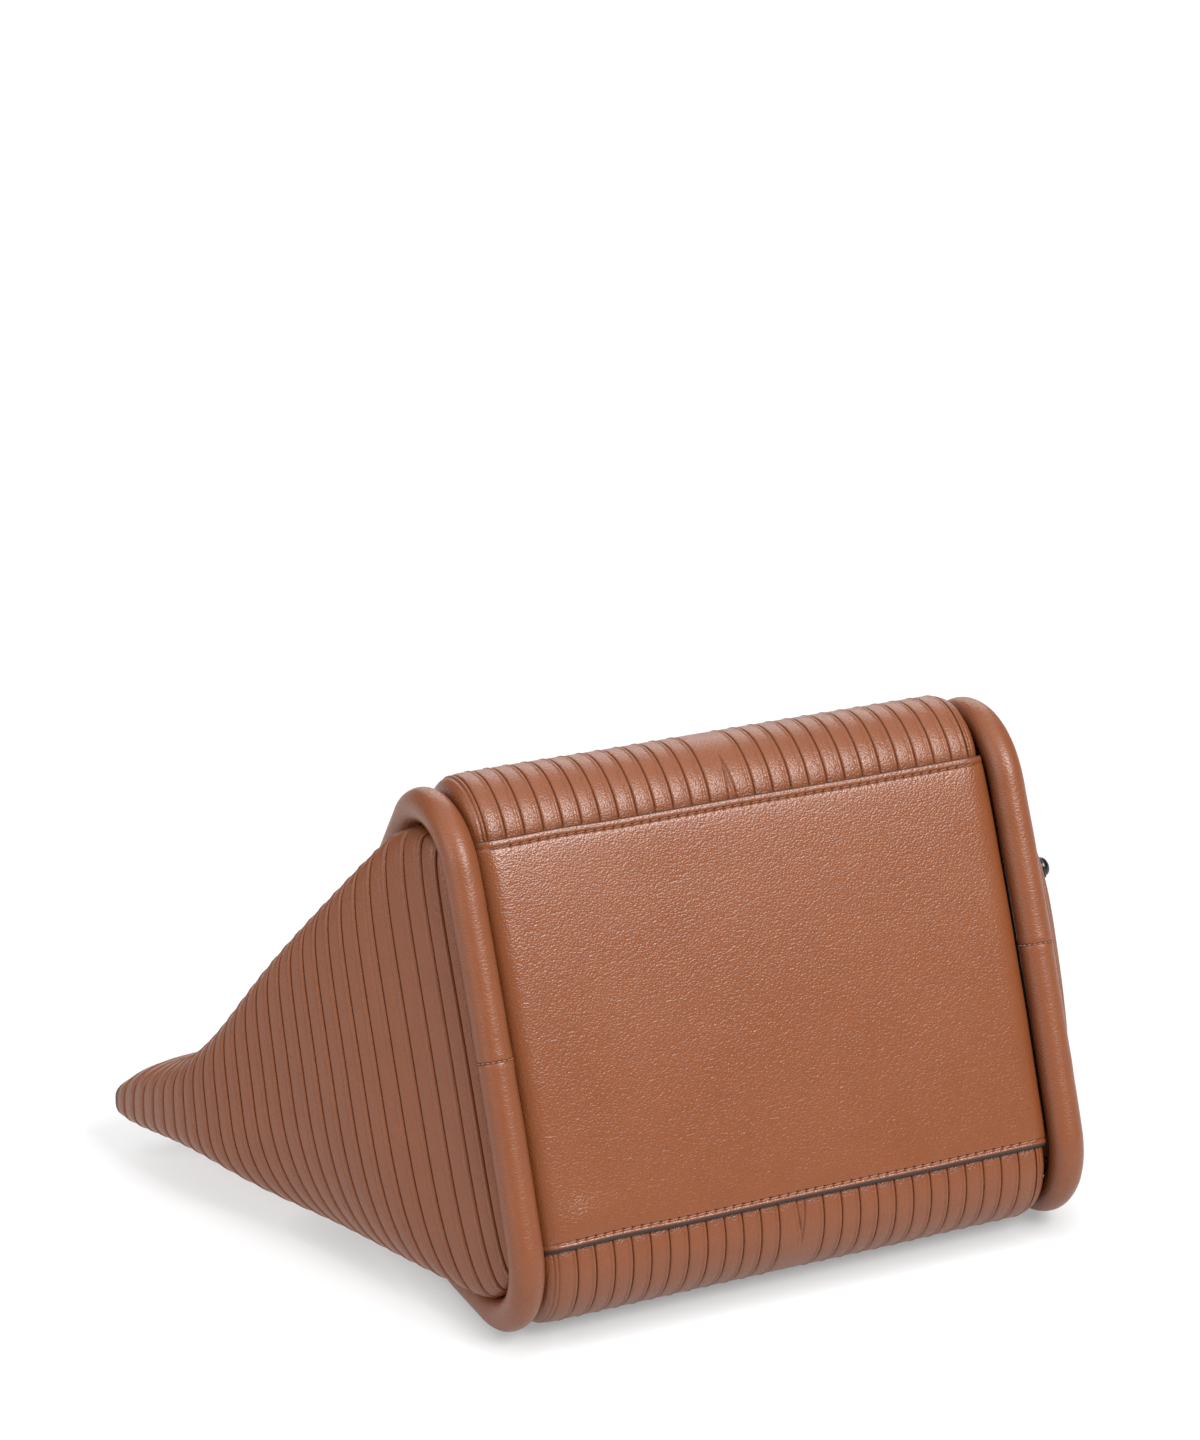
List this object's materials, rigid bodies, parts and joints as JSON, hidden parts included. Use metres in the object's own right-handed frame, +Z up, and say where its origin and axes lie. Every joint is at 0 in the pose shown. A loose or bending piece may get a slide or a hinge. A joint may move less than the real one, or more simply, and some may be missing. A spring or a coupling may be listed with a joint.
{
  "type": "leather handbag",
  "caption": "Soft ribbed leather handbag lying on its front, with a smooth base panel, thick rolled side pipings, ribbed side gussets and an open mouth to put things in.",
  "frame": {"origin": "on the floor, under the middle of the bag's bounding box", "axes": "+X along the base from the left piping to the right one, +Y from the base to the mouth, +Z up from the floor the bag lies on"},
  "size_m": [0.4094, 0.2326, 0.2072],
  "materials": {
    "leather_smooth": "satin, fine pebble grain",
    "leather_ribbed": "satin, fine pebble grain, quilted in ribs",
    "leather_piping": "satin, drawn tight over a roll",
    "gunmetal": "dark polished"
  },
  "bodies": {
    "root": {"base_panel": "leather_smooth", "front_panel": "leather_ribbed", "back_panel": "leather_ribbed", "gusset_left": "leather_ribbed", "gusset_right": "leather_ribbed", "piping_left": "leather_piping", "piping_right": "leather_piping", "side_stud": "gunmetal"}
  },
  "joints": []
}
